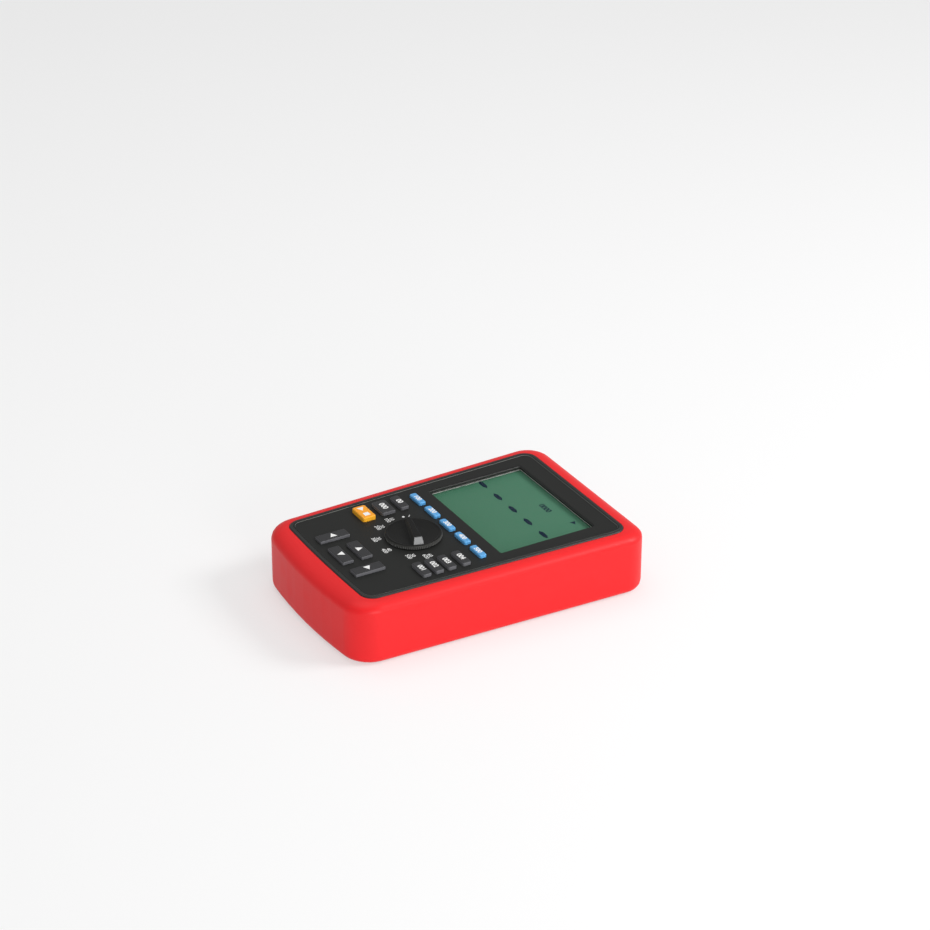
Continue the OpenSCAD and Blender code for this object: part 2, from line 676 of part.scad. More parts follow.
module bar_solid() hull() {
    slice(bar_z, [[tip_reach, -bar_tip_w / 2 - tip_flare], [tip_reach, bar_tip_w / 2 + tip_flare],
        [-foot_reach, bar_end_w / 2 + bar_flare], [-foot_reach, -bar_end_w / 2 - bar_flare]]);
    slice(bar_top, [[crest_reach, -bar_tip_w / 2], [crest_reach, bar_tip_w / 2],
        [-end_reach, bar_end_w / 2], [-end_reach, -bar_end_w / 2]]);
}
module knob() color([0.13, 0.13, 0.13]) at([0, knob_y]) difference() {
    union() {
        rotate_extrude() polygon(concat(
            [[0, skirt_z], [knob_r, skirt_z]],
            arc([knob_r - skirt_round, skirt_top - skirt_round], skirt_round, 0, 90, rim_steps),
            [[knob_r - skirt_round * 2, skirt_top - skirt_round / 2], [knob_r / 2, dish_z],
             [0, dish_z]]));
        rotate([0, 0, rest_angle]) bar_solid();
        tube(hub_r, ceiling_z - key_gap, skirt_z + slice_t);
    }
    tube(spindle_r + seat_fit / 2, ceiling_z - over, dish_z - cap_t);
    marker_solid(seat_fit);
}
module marker_solid(grow) rotate([0, 0, rest_angle]) hull() {
    slab(dish_z - grow, dish_z - grow + slice_t,
        marker_outline(foot_reach, bar_end_w / 2 + bar_flare + grow, grow));
    slice(bar_top + grow, marker_outline(end_reach, bar_end_w / 2 + grow, grow));
}
function marker_outline(reach, half, grow) = [[-reach - grow, -half], [-reach - grow, half],
    [-reach + marker_t + grow, half], [-reach + marker_t + grow, -half]];
module knob_marker() color([0.62, 0.63, 0.64]) at([0, knob_y]) marker_solid(0);
module switch_spindle() color([0.8, 0.8, 0.78]) at([0, knob_y])
    tube(spindle_r, bush_z, dish_z - cap_t - seat_fit);
module switch_rotor() color([0.85, 0.83, 0.75]) at([0, knob_y]) difference() {
    union() {
        tube(rotor_r, rotor_z, rotor_z + rotor_t);
        rotate([0, 0, rest_angle]) translate([rotor_r - wiper_t, 0, rotor_z])
            cylinder(r = detent_nose_r, h = rotor_t);
    }
    tube(spindle_r + seat_fit / 2, rotor_z - over, rotor_z + rotor_t + over);
}
module switch_wipers() color([0.85, 0.65, 0.35]) at([0, knob_y])
    for (i = [0:2]) rotate([0, 0, rest_angle + wiper_angles[i]])
        translate([wiper_shares[i] * rotor_r, 0, rotor_z - wiper_t])
            cylinder(r = wiper_t * 2, h = wiper_t);
module switch_bush() color([0.3, 0.3, 0.32]) at([0, knob_y]) difference() {
    tube(bush_r, bush_z, rotor_z - seat_fit * 2);
    tube(spindle_r + spindle_fit, bush_z - over, rotor_z + over);
}
module detent_ring() color([0.3, 0.3, 0.32]) at([0, knob_y]) difference() {
    tube(detent_r, board_top, board_top + detent_t);
    tube(nose_reach + key_gap, board_top - over, board_top + detent_t + over);
    for (i = [0:detent_count - 1]) rotate([0, 0, rest_angle + i * 360 / detent_count])
        translate([nose_reach, 0, board_top - over])
            cylinder(r = detent_nose_r, h = detent_t + 2 * over);
}
module switch_pads() color([0.85, 0.7, 0.3]) at([0, knob_y]) for (s = wiper_shares)
    difference() {
        tube(s * rotor_r + detent_nose_r / 2, board_top, board_top + pad_t);
        tube(s * rotor_r - detent_nose_r / 2, board_top - over, board_top + pad_t + over);
    }

// Display end: block, sockets, ports
module along_y(p, y0, y1, r) translate([p[0], y1, p[1]]) rotate([90, 0, 0])
    cylinder(r = r, h = y1 - y0);
module each_socket(list) for (i = list) translate([socket_shares[i] * socket_pitch, 0, 0])
    children();
module terminal_block() color([0.22, 0.22, 0.23]) difference() {
    union() {
        box([-block_w / 2, block_w / 2], [end_y - block_len, end_y + block_out],
            [socket_z - block_h / 2, socket_z + block_h / 2]);
        box([-block_w / 2 - block_flange + seat_fit, block_w / 2 + block_flange - seat_fit],
            [end_y - wall + seat_fit / 2, end_y - wall + block_flange / 2 - seat_fit / 2],
            [socket_z - block_h / 2 - block_flange + seat_fit,
             socket_z + block_h / 2 + block_flange - seat_fit]);
    }
    each_socket([0:3]) along_y([0, socket_z], end_y - block_len - over, socket_out_y + over,
        socket_r + seat_fit / 2);
}
module socket_body() difference() {
    along_y([0, socket_z], socket_out_y - socket_len, socket_out_y, socket_r);
    difference() {
        along_y([0, socket_z], socket_out_y - groove_depth, socket_out_y + over, groove_r);
        along_y([0, socket_z], socket_out_y - groove_depth - over, socket_out_y + over, sleeve_r);
    }
    along_y([0, socket_z], socket_out_y - socket_len - over, socket_out_y + over,
        plug_r + contact_wall + seat_fit / 2);
}
module red_sockets() color([0.8, 0.1, 0.1]) each_socket([0, 2]) socket_body();
module black_sockets() color([0.07, 0.07, 0.07]) each_socket([1, 3]) socket_body();
lug_len = 5;
module socket_contacts() color([0.85, 0.7, 0.4]) each_socket([0:3]) difference() {
    along_y([0, socket_z], socket_out_y - socket_len - lug_len, socket_out_y - wall / 2,
        plug_r + contact_wall);
    along_y([0, socket_z], socket_out_y - socket_len, socket_out_y, plug_r);
}
usb_wall = 1.6;
tongue_size = [5.6, 3.2];
tongue_back = 2;
module data_port() color([0.75, 0.75, 0.77]) difference() {
    box([port_x - usb_size[0] / 2, port_x + usb_size[0] / 2], [end_y - port_depth, end_y],
        [socket_z - usb_size[1] / 2, socket_z + usb_size[1] / 2]);
    box([port_x - usb_size[0] / 2 + usb_wall, port_x + usb_size[0] / 2 - usb_wall],
        [end_y - port_depth + usb_wall, end_y + over],
        [socket_z - usb_size[1] / 2 + usb_wall, socket_z + usb_size[1] / 2 - usb_wall]);
}
module data_port_tongue() color([0.9, 0.9, 0.88])
    box([port_x - tongue_size[0] / 2, port_x + tongue_size[0] / 2],
        [end_y - port_depth + usb_wall, end_y - tongue_back],
        [socket_z - tongue_size[1] / 2, socket_z + tongue_size[1] / 2]);
module supply_jack() color([0.1, 0.1, 0.1]) {
    difference() {
        box([-port_x - jack_size / 2, -port_x + jack_size / 2], [end_y - port_depth, end_y],
            [socket_z - jack_size / 2, socket_z + jack_size / 2]);
        along_y([-port_x, socket_z], end_y - port_depth + usb_wall, end_y + over, jack_r);
    }
    along_y([-port_x, socket_z], end_y - port_depth + usb_wall - slice_t, end_y - usb_wall,
        small_screw_r);
}

// Power board and what it carries
on_power = power_board_z + board_t;
relay_size = [15, 20, 11];
relay_shares = [[-0.32, -0.1], [-0.1, -0.1]];
cap_r = 5;
cap_h = 16;
cap_shares = [[0.28, 0.1], [0.4, 0.1]];
shunt_shares = [0.32, -0.28];
fuse_shares = [-0.15, 0.32];
shunt_size = [26, 7, 6];
fuse_r = 2.6;
fuse_len = 20;
clip_w = 3;
module power_board() color([0.1, 0.3, 0.4]) difference() {
    at([0, power_mid_y]) slab(power_board_z, on_power, box_outline(power_board_size, key_corner));
    at_each(power_screw_places)
        tube(small_screw_r + seat_fit, power_board_z - over, on_power + over);
}
module on_board(place) translate([place[0] * power_board_size[0],
    power_mid_y + place[1] * power_board_size[1], on_power]) children();
module relays() color([0.2, 0.4, 0.65]) for (s = relay_shares) on_board(s)
    slab(0, relay_size[2], box_outline([relay_size[0], relay_size[1]], sharp_corner));
module capacitors() color([0.15, 0.17, 0.3]) for (s = cap_shares) on_board(s)
    cylinder(r = cap_r, h = cap_h);
// Folded resistance strip with two feet
module current_shunt() color([0.6, 0.5, 0.4]) on_board(shunt_shares) difference() {
    slab(0, shunt_size[2], box_outline([shunt_size[0], shunt_size[1]], sharp_corner));
    box([-shunt_size[0] / 2 + block_wall, shunt_size[0] / 2 - block_wall],
        [-shunt_size[1], shunt_size[1]], [-over, shunt_size[2] - wall]);
}
module fuse() color([0.8, 0.85, 0.85]) on_board(fuse_shares)
    translate([-fuse_len / 2, 0, clip_w + fuse_r]) rotate([0, 90, 0]) cylinder(r = fuse_r, h = fuse_len);
module fuse_clips() color([0.8, 0.75, 0.6]) for (s = [-1, 1]) on_board(fuse_shares)
    difference() {
        box([s * fuse_len / 2 - clip_w / 2, s * fuse_len / 2 + clip_w / 2],
            [-fuse_r - wiper_t * 2, fuse_r + wiper_t * 2], [0, clip_w + fuse_r]);
        translate([-fuse_len, 0, clip_w + fuse_r]) rotate([0, 90, 0])
            cylinder(r = fuse_r + thread_fit, h = 2 * fuse_len);
    }
buzzer_r = 7;
buzzer_h = 5;
buzzer_place = [28, bay_mid + pack_size[1] / 2 + buzzer_r * 2];
module buzzer() color([0.07, 0.07, 0.08]) at(buzzer_place)
    difference() {
        tube(buzzer_r, board_z - buzzer_h, board_z);
        tube(small_screw_r, board_z - buzzer_h - over, board_z - buzzer_h / 2);
    }

// Battery, its door and the tilt stand
cell_r = pack_size[2] / 2;
module battery_pack() color([0.15, 0.35, 0.6]) at([0, bay_mid]) hull() {
    slab(pack_z + cell_r / 2, bay_top_z - cell_r / 2, box_outline([pack_size[0], pack_size[1]],
        key_corner));
    slab(pack_z, bay_top_z, box_outline([pack_size[0] - cell_r, pack_size[1]], key_corner));
}
module battery_door() color([0.17, 0.17, 0.17]) difference() {
    union() {
        at([0, bay_mid]) slab(plateau_z, plateau_z + door_t, box_outline(door_size, key_corner));
        at_each(door_screw_places) tube(door_tab_r, plateau_z, door_tab_z - seat_fit);
    }
    at_each(door_screw_places) {
        tube(small_screw_r + seat_fit, plateau_z - over, door_tip_z);
        tube(small_head_r + seat_fit, plateau_z - over, plateau_z + small_head_h / 2);
    }
    for (i = [-2:2]) at([0, bay_mid + door_size[1] / 4 + i * wall])
        box([-door_size[0] / 4, door_size[0] / 4], [-wall / 4, wall / 4],
            [plateau_z - over, plateau_z + wiper_t * 2]);
}
module screw(r, head_r, z0, z1, z2, slot) difference() {
    union() {
        tube(head_r, z0, z1);
        tube(r, z1 - slice_t, z2);
    }
    for (a = [0, 90]) rotate([0, 0, a]) box([-head_r * cross_share, head_r * cross_share],
        [-slot, slot], [z0 - over, z0 + (z1 - z0) / 2]);
}
cross_share = 0.6;
cross_slot = 0.35;
module door_screws() color([0.7, 0.7, 0.72]) at_each(door_screw_places)
    screw(small_screw_r, small_head_r, plateau_z + seat_fit - small_head_h / 4,
        plateau_z + small_head_h / 2, door_tip_z, cross_slot);
module case_screws() color([0.7, 0.7, 0.72]) at_each(case_screw_places)
    screw(screw_r, screw_head_r, head_seat_z - screw_head_h, head_seat_z, screw_tip_z, cross_slot);
module board_screws() color([0.7, 0.7, 0.72]) at_each(board_screw_places)
    screw(small_screw_r, small_head_r, board_z - small_head_h, board_z, board_tip_z, cross_slot);
module power_board_screws() color([0.7, 0.7, 0.72]) at_each(power_screw_places)
    translate([0, 0, on_power]) mirror([0, 0, 1])
        screw(small_screw_r, small_head_r, -small_head_h, 0,
            power_board_z - shell_z - wall - seat_fit, cross_slot);

stand_rib = 1.2;
rib_shares = [-0.3, -0.1, 0.1, 0.3];
module tilt_stand() color([0.15, 0.15, 0.15]) {
    difference() {
        union() {
            box([-stand_w / 2, stand_w / 2], [stand_foot_y, hinge_y], [stand_z, stand_z + stand_t]);
            translate([0, hinge_y, hinge_z]) rotate([0, 90, 0]) {
                cylinder(r = stand_t / 2, h = stand_w, center = true);
                cylinder(r = stand_pin_r, h = stand_w + 2 * stand_pin_len, center = true);
            }
        }
        for (s = rib_shares) box([s * stand_w - stand_rib / 2, s * stand_w + stand_rib / 2],
            [stand_foot_y + stand_len / 6, hinge_y - stand_len / 6],
            [stand_z - over, stand_z + stand_rib / 2]);
        stand_pad_boxes(seat_fit / 2);
    }
}
pad_share = 0.32;
pad_w = 14;
pad_len = 5;
module stand_pad_boxes(grow) for (s = [-1, 1])
    box([s * pad_share * stand_w - pad_w / 2 - grow, s * pad_share * stand_w + pad_w / 2 + grow],
        [stand_foot_y + pad_len / 2 - grow, stand_foot_y + pad_len / 2 + pad_len + grow],
        [stand_z - over, stand_z + stand_rib]);
module stand_pads() color([0.08, 0.08, 0.08]) intersection() {
    stand_pad_boxes(0);
    box([-stand_w, stand_w], [stand_foot_y - over, hinge_y], [stand_z - seat_fit, face_z]);
}

module orange_key() color([0.97, 0.62, 0.15]) key(0);
module left_key_1() color([0.24, 0.24, 0.26]) key(1);
module left_key_2() color([0.24, 0.24, 0.26]) key(2);
module right_key_1() color([0.24, 0.24, 0.26]) key(3);
module right_key_2() color([0.24, 0.24, 0.26]) key(4);
module right_key_3() color([0.24, 0.24, 0.26]) key(5);
module right_key_4() color([0.24, 0.24, 0.26]) key(6);
module blue_key_1() color([0.38, 0.64, 0.85]) key(7);
module blue_key_2() color([0.38, 0.64, 0.85]) key(8);
module blue_key_3() color([0.38, 0.64, 0.85]) key(9);
module blue_key_4() color([0.38, 0.64, 0.85]) key(10);
module blue_key_5() color([0.38, 0.64, 0.85]) key(11);
module arrow_up_key() color([0.24, 0.24, 0.26]) key(12);
module arrow_down_key() color([0.24, 0.24, 0.26]) key(13);
module arrow_left_key() color([0.24, 0.24, 0.26]) key(14);
module arrow_right_key() color([0.24, 0.24, 0.26]) key(15);

boot();
back_shell();
front_cover();
case_seal();
face_overlay();
window_lens();
display_glass();
display_segments();
display_frame();
contact_strips();
main_board();
board_chips();
keypad_mat();
orange_key();
left_key_1();
left_key_2();
right_key_1();
right_key_2();
right_key_3();
right_key_4();
blue_key_1();
blue_key_2();
blue_key_3();
blue_key_4();
blue_key_5();
arrow_up_key();
arrow_down_key();
arrow_left_key();
arrow_right_key();
knob();
knob_marker();
switch_spindle();
switch_rotor();
switch_wipers();
switch_bush();
detent_ring();
switch_pads();
terminal_block();
red_sockets();
black_sockets();
socket_contacts();
data_port();
data_port_tongue();
supply_jack();
power_board();
current_shunt();
fuse();
fuse_clips();
relays();
capacitors();
buzzer();
battery_pack();
battery_door();
door_screws();
tilt_stand();
stand_pads();
case_screws();
board_screws();
power_board_screws();
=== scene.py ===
import bpy
import bmesh
import json
import math
from mathutils import Matrix, Vector
from mathutils.geometry import convex_hull_2d

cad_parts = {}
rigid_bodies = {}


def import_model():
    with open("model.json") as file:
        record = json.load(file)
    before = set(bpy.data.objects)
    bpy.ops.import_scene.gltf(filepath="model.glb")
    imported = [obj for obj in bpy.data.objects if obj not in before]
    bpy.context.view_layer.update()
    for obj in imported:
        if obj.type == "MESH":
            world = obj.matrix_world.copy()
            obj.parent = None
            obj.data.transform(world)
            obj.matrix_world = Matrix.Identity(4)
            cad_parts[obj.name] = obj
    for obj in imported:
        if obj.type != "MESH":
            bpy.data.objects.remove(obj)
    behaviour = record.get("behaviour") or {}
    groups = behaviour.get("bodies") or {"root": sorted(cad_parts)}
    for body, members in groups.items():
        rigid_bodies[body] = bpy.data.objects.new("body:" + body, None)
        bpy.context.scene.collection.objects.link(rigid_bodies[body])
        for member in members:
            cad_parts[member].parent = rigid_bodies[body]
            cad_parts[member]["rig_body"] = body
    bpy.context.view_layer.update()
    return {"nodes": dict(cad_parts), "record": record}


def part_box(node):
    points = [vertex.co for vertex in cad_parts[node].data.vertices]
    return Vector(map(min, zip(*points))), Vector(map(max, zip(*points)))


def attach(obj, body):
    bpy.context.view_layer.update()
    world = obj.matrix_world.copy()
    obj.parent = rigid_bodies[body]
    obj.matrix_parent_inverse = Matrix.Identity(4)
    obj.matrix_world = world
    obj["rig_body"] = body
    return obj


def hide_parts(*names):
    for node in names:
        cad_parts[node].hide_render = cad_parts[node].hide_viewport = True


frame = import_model()
nodes = frame["nodes"]
slots = {part["node"]: part["material_slot"] for part in frame["record"]["subparts"]}
mm = 0.001
weld = 0.004 * mm       # corner points nearer than this become one
ink = 0.03 * mm         # thickness of a printed mark
print_gap = 0.01 * mm   # how far a printed mark stands off its face
bold_share = 0.025      # growth of a bold number's strokes, of its height
row_share = 0.8         # distance between rows of numbers, of the usual one

# Camera: where the photograph was taken from, in the meter's own frame
right = Vector((0.50088, 0.86551, 0.00188))
up = Vector((-0.41424, 0.23782, 0.87855))
back = Vector((0.75995, -0.44083, 0.47765))
camera = bpy.data.objects.new("camera", bpy.data.cameras.new("camera"))
bpy.context.scene.collection.objects.link(camera)
camera.data.sensor_width = 36
camera.data.lens = 116.41
camera.data.clip_start = 0.05
camera.matrix_world = Matrix((
    (right.x, up.x, back.x, 1.58693),
    (right.y, up.y, back.y, -0.90947),
    (right.z, up.z, back.z, 1.08912),
    (0, 0, 0, 1)))
bpy.context.scene.camera = camera


# Finishes

class Wire:
    """A value that runs between a finish's nodes, with sums written as Python."""

    def __init__(self, finish, socket):
        self.finish, self.socket = finish, socket

    def sum(self, operation, first, second=0.0, clamp=False):
        return self.finish.node("ShaderNodeMath", {"operation": operation, "use_clamp": clamp},
                                [first, second])

    def __add__(self, other): return self.sum("ADD", self, other)
    def __radd__(self, other): return self.sum("ADD", other, self)
    def __sub__(self, other): return self.sum("SUBTRACT", self, other)
    def __rsub__(self, other): return self.sum("SUBTRACT", other, self)
    def __mul__(self, other): return self.sum("MULTIPLY", self, other)
    def above(self, level): return self.sum("GREATER_THAN", self, level)
    def kept(self): return self.sum("MULTIPLY", self, 1.0, clamp=True)


class Finish:
    """One material: its nodes, and the shader that they feed."""

    def __init__(self, name, color, rough, **fixed):
        self.name = name
        self.material = bpy.data.materials.new(name)
        self.material.use_nodes = True
        self.tree = self.material.node_tree
        self.tree.nodes.clear()
        self.output = self.tree.nodes.new("ShaderNodeOutputMaterial")
        self.shader = self.tree.nodes.new("ShaderNodeBsdfPrincipled")
        self.tree.links.new(self.shader.outputs[0], self.output.inputs[0])
        self.color, self.rough = color, rough
        self.feed("Base Color", (*color, 1.0))
        self.feed("Roughness", rough)
        for label, value in fixed.items():
            self.feed(label.replace("_", " "), value)

    def feed(self, label, value):
        socket = self.shader.inputs[label]
        if isinstance(value, Wire):
            self.tree.links.new(value.socket, socket)
        else:
            socket.default_value = value

    def node(self, kind, settings, values, out=0):
        made = self.tree.nodes.new(kind)
        for label, value in settings.items():
            setattr(made, label, value)
        pairs = values.items() if isinstance(values, dict) else enumerate(values)
        for label, value in pairs:
            socket = made.inputs[label]
            if isinstance(value, Wire):
                self.tree.links.new(value.socket, socket)
            else:
                socket.default_value = value
        return Wire(self, made.outputs[out])

    def place(self, scale=(1, 1, 1)):
        spot = self.node("ShaderNodeTexCoord", {}, {}, "Object")
        return self.node("ShaderNodeMapping", {}, {"Vector": spot, "Scale": scale})

    def noise(self, per_metre, detail=2.0, stretch=(1, 1, 1)):
        return self.node("ShaderNodeTexNoise", {}, {"Vector": self.place(stretch),
                         "Scale": per_metre, "Detail": detail}, "Fac")

    def cells(self, per_metre):
        return self.node("ShaderNodeTexVoronoi", {}, {"Vector": self.place(),
                         "Scale": per_metre}, "Distance")

    def axis(self, index):
        spot = self.node("ShaderNodeTexCoord", {}, {}, "Object")
        return self.node("ShaderNodeSeparateXYZ", {}, [spot], index)

    def blend(self, share, first, second):
        made = self.tree.nodes.new("ShaderNodeMix")
        made.data_type = "RGBA"
        for index, value in ((0, share), (6, first), (7, second)):
            if isinstance(value, Wire):
                self.tree.links.new(value.socket, made.inputs[index])
            else:
                made.inputs[index].default_value = value if index == 0 else (*value, 1.0)
        return Wire(self, made.outputs[2])

    def shades(self, share, darker=0.86, lighter=1.12, painted_side_light=1.0):
        """Slow changes of shade; the last argument is how much lighter steep side faces are
        painted, a painted highlight of side light.
        """
        low = [c * darker for c in self.color]
        high = [min(1.0, c * lighter) for c in self.color]
        tone = self.blend(share, low, high)
        # Painted highlight: faces leaning more than about 37 degrees from flat are painted
        # lighter, fully so past about 66 degrees, standing in for side light.
        if painted_side_light != 1.0:
            facing = self.node("ShaderNodeNewGeometry", {}, {}, "Normal")
            painted_light_share = ((0.8 - self.node("ShaderNodeSeparateXYZ", {}, [facing], 2)) * 2.5).kept()
            tone = self.blend(painted_light_share, tone, [min(1.0, c * painted_side_light) for c in self.color])
        self.feed("Base Color", tone)

    def relief(self, height, depth, strength=1.0):
        self.feed("Normal", self.node("ShaderNodeBump", {}, {"Strength": strength,
                  "Distance": depth, "Height": height}, "Normal"))


def moulded(name, color, rough, grain=2600, depth=0.00004, shine=0.08, gloss=0.5, painted_side_light=1.0):
    """Moulded plastic: a fine spark-eroded grain over a slow change of shade, with steep side
    faces painted lighter where asked, a painted highlight.
    """
    made = Finish(name, color, rough, Specular_IOR_Level=gloss)
    slow, fine = made.noise(38, 3), made.noise(grain, 2)
    made.shades(slow, painted_side_light=painted_side_light)
    made.feed("Roughness", rough - shine / 2 + slow * shine + (fine - 0.5) * 0.06)
    made.relief(fine, depth, 0.5)
    return made


def rubbery(name, color, rough, depth=0.00005, gloss=0.35):
    """Soft rubber: dull and even, with faint rubs and a fine skin."""
    made = Finish(name, color, rough, Specular_IOR_Level=gloss)
    slow, fine = made.noise(26, 4), made.noise(1900, 3)
    rubs = ((made.noise(60, 5, (1, 0.25, 1)) - 0.58) * 5).kept()
    made.feed("Base Color", made.blend(rubs * 0.12, list(color),
                                       [min(1.0, c * 1.15 + 0.02) for c in color]))
    made.feed("Roughness", rough + (slow - 0.5) * 0.14 + rubs * 0.06 + (fine - 0.5) * 0.05)
    made.relief(fine, depth, 0.4)
    return made


def metal(name, color, rough, lay=(1, 1, 1), per_metre=900):
    """Metal with a fine lay of scratches along one way."""
    made = Finish(name, color, rough, Metallic=1.0)
    lines, slow = made.noise(per_metre, 3, lay), made.noise(120, 3)
    made.shades(slow, 0.82, 1.1)
    made.feed("Roughness", rough + (lines - 0.5) * 0.22)
    made.relief(lines, 0.00002, 0.35)
    return made


def printed(name, color, rough=0.5, gloss=0.5):
    """Printing ink: even, with a faint edge of grain."""
    made = Finish(name, color, rough, Specular_IOR_Level=gloss)
    made.shades(made.noise(1400, 2), 0.94, 1.03)
    made.relief(made.noise(3000, 1), 0.000005, 0.3)
    return made


def board(name, color):
    """Circuit board: solder resist with tracks showing through."""
    made = Finish(name, color, 0.32, Coat_Weight=0.3)
    along = (made.node("ShaderNodeTexWave", {"bands_direction": "X"},
             {"Vector": made.place(), "Scale": 120.0, "Distortion": 2.5, "Detail": 1.0}, "Fac"))
    tracks = ((along - 0.62) * 8).kept() * made.noise(30, 1).above(0.48)
    made.feed("Base Color", made.blend(tracks * 0.6, color, [c * 1.9 + 0.02 for c in color]))
    made.relief(tracks, 0.00003, 0.6)
    return made


def wrapped(name, color, rough=0.28):
    """Shrink wrap or a glossy sleeve, with soft creases."""
    made = Finish(name, color, rough, Coat_Weight=0.2)
    made.shades(made.noise(70, 3))
    made.relief(made.noise(160, 3, (1, 0.3, 1)), 0.0002, 0.4)
    return made


def clear(name, color, rough, body, haze, gloss=0.5):
    """Clear plastic or glass: most of the light goes through, a haze and a few rubs show."""
    made = Finish(name, color, rough, IOR=1.49, Specular_IOR_Level=gloss)
    made.feed("Alpha", body + made.noise(35, 3) * haze)
    made.feed("Roughness", rough + made.noise(300, 4) * 0.08)
    return made


def display_finish():
    """Reflective display: green, a shade lighter towards the terminals, with its pixel grid."""
    made = Finish("display_glass", (0.05, 0.17, 0.1), 0.36, Specular_IOR_Level=0.15)
    far = ((made.axis(1) - 0.005) * 11).kept()
    tone = made.blend(far, (0.045, 0.158, 0.09), (0.058, 0.188, 0.112))
    made.feed("Base Color", made.blend(made.noise(24, 2) * 0.3, tone, (0.037, 0.135, 0.077)))
    made.relief(made.cells(2600), 0.00001, 0.3)
    made.feed("Roughness", 0.34 + made.noise(600, 2) * 0.06)
    return made


finishes = {made.name: made for made in [
    rubbery("boot_rubber", (0.78, 0.011, 0.014), 0.46, gloss=0.3),
    moulded("case_plastic", (0.02, 0.021, 0.02), 0.48, gloss=0.35),
    rubbery("seal_rubber", (0.018, 0.018, 0.018), 0.7),
    moulded("printed_overlay", (0.013, 0.0135, 0.0125), 0.5, grain=3400, depth=0.00002, gloss=0.2),
    # The raised border's steep faces are painted 13 times lighter, a painted highlight along its
    # inner side.
    moulded("border_painted_highlight", (0.013, 0.0135, 0.0125), 0.5, depth=0.00002, gloss=0.2, painted_side_light=13.0),
    clear("clear_lens", (0.78, 0.9, 0.84), 0.1, 0.004, 0.008, gloss=0.2),
    display_finish(),
    printed("display_ink", (0.001, 0.011, 0.03), 0.5, gloss=0.05),
    moulded("white_plastic", (0.74, 0.74, 0.7), 0.4),
    rubbery("strip_rubber", (0.62, 0.28, 0.33), 0.6),
    board("board_green", (0.02, 0.12, 0.05)),
    board("board_blue", (0.02, 0.07, 0.16)),
    moulded("chip_resin", (0.02, 0.02, 0.021), 0.55, grain=4000),
    rubbery("mat_rubber", (0.42, 0.42, 0.4), 0.62),
    # Keys and knob: their steep side faces are painted lighter, a painted highlight of light from
    # the side.
    moulded("orange_key_plastic", (0.93, 0.36, 0.02), 0.42, depth=0.00002, gloss=0.35, painted_side_light=1.3),
    moulded("gray_key_plastic", (0.027, 0.027, 0.029), 0.42, depth=0.00002, gloss=0.35, painted_side_light=5.0),
    moulded("blue_key_plastic", (0.1, 0.36, 0.7), 0.4, depth=0.00002, gloss=0.4, painted_side_light=1.2),
    moulded("dark_key_plastic", (0.024, 0.024, 0.026), 0.42, depth=0.00002, gloss=0.35, painted_side_light=5.5),
    moulded("knob_plastic", (0.0065, 0.0065, 0.006), 0.44, depth=0.00003, gloss=0.14, painted_side_light=7.0),
    # Ribs in a lighter grey than the knob: a painted highlight of the lit skirt side.
    moulded("rib_plastic_painted_highlight", (0.13, 0.13, 0.127), 0.42, depth=0.00002, gloss=0.35),
    moulded("marker_gray", (0.24, 0.243, 0.245), 0.38, depth=0.00002, gloss=0.3),
    moulded("switch_plastic", (0.55, 0.52, 0.43), 0.42),
    moulded("switch_dark", (0.06, 0.06, 0.07), 0.45),
    metal("contact_brass", (0.78, 0.56, 0.24), 0.3, (1, 0.1, 1)),
    moulded("block_plastic", (0.04, 0.04, 0.043), 0.5),
    moulded("red_plastic", (0.62, 0.016, 0.016), 0.26, depth=0.00001),
    moulded("black_plastic", (0.014, 0.014, 0.014), 0.28, depth=0.00001),
    metal("port_steel", (0.56, 0.56, 0.57), 0.34, (1, 0.1, 1)),
    metal("shunt_alloy", (0.46, 0.34, 0.23), 0.36, (0.1, 1, 1)),
    clear("fuse_glass", (0.72, 0.78, 0.78), 0.05, 0.5, 0.2),
    moulded("relay_case", (0.05, 0.15, 0.4), 0.3),
    wrapped("capacitor_sleeve", (0.025, 0.035, 0.11)),
    wrapped("battery_wrap", (0.03, 0.12, 0.32)),
    metal("screw_steel", (0.58, 0.58, 0.59), 0.36, (1, 1, 0.1), 1500),
    moulded("stand_plastic", (0.03, 0.03, 0.03), 0.5),
    printed("white_ink", (0.9, 0.9, 0.89)),
    printed("gray_ink", (0.52, 0.52, 0.52)),
]}


# Making pieces

def piece(form, name, body, finish, keep=()):
    """Turns a bmesh into a finished object that rides on a body, and may stand for CAD nodes."""
    mesh = bpy.data.meshes.new(name)
    form.to_mesh(mesh)
    form.free()
    made = bpy.data.objects.new(name, mesh)
    bpy.context.scene.collection.objects.link(made)
    mesh.materials.append(finishes[finish].material)
    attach(made, body)
    if keep:
        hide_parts(*keep)
    return made


def welded(node):
    """A CAD node's form with its loose corner points joined."""
    form = bmesh.new()
    form.from_mesh(nodes[node].data)
    bmesh.ops.remove_doubles(form, verts=form.verts[:], dist=weld)
    return form


def soften(made, edge, rows=2, fold=30, corner="MITER_ARC"):
    """Rounds a piece's sharp edges and shades its flat faces flat."""
    for face in made.data.polygons:
        face.use_smooth = True
    if edge:
        bevel = made.modifiers.new("edges", "BEVEL")
        bevel.limit_method, bevel.angle_limit = "ANGLE", math.radians(fold)
        bevel.width, bevel.segments, bevel.profile = edge, rows, 0.5
        bevel.miter_outer = corner
    made.modifiers.new("shading", "WEIGHTED_NORMAL").keep_sharp = False
    return made


def dressed(node, edge, rows=2, fold=30, corner="MITER_ARC"):
    """A welded copy of a CAD node with its edges rounded, in the node's own place."""
    form = welded(node)
    bmesh.ops.dissolve_limit(form, angle_limit=math.radians(0.5), verts=form.verts[:],
                             edges=form.edges[:])
    made = piece(form, node + "_piece", nodes[node]["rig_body"], slots[node], [node])
    return soften(made, edge, rows, fold, corner)


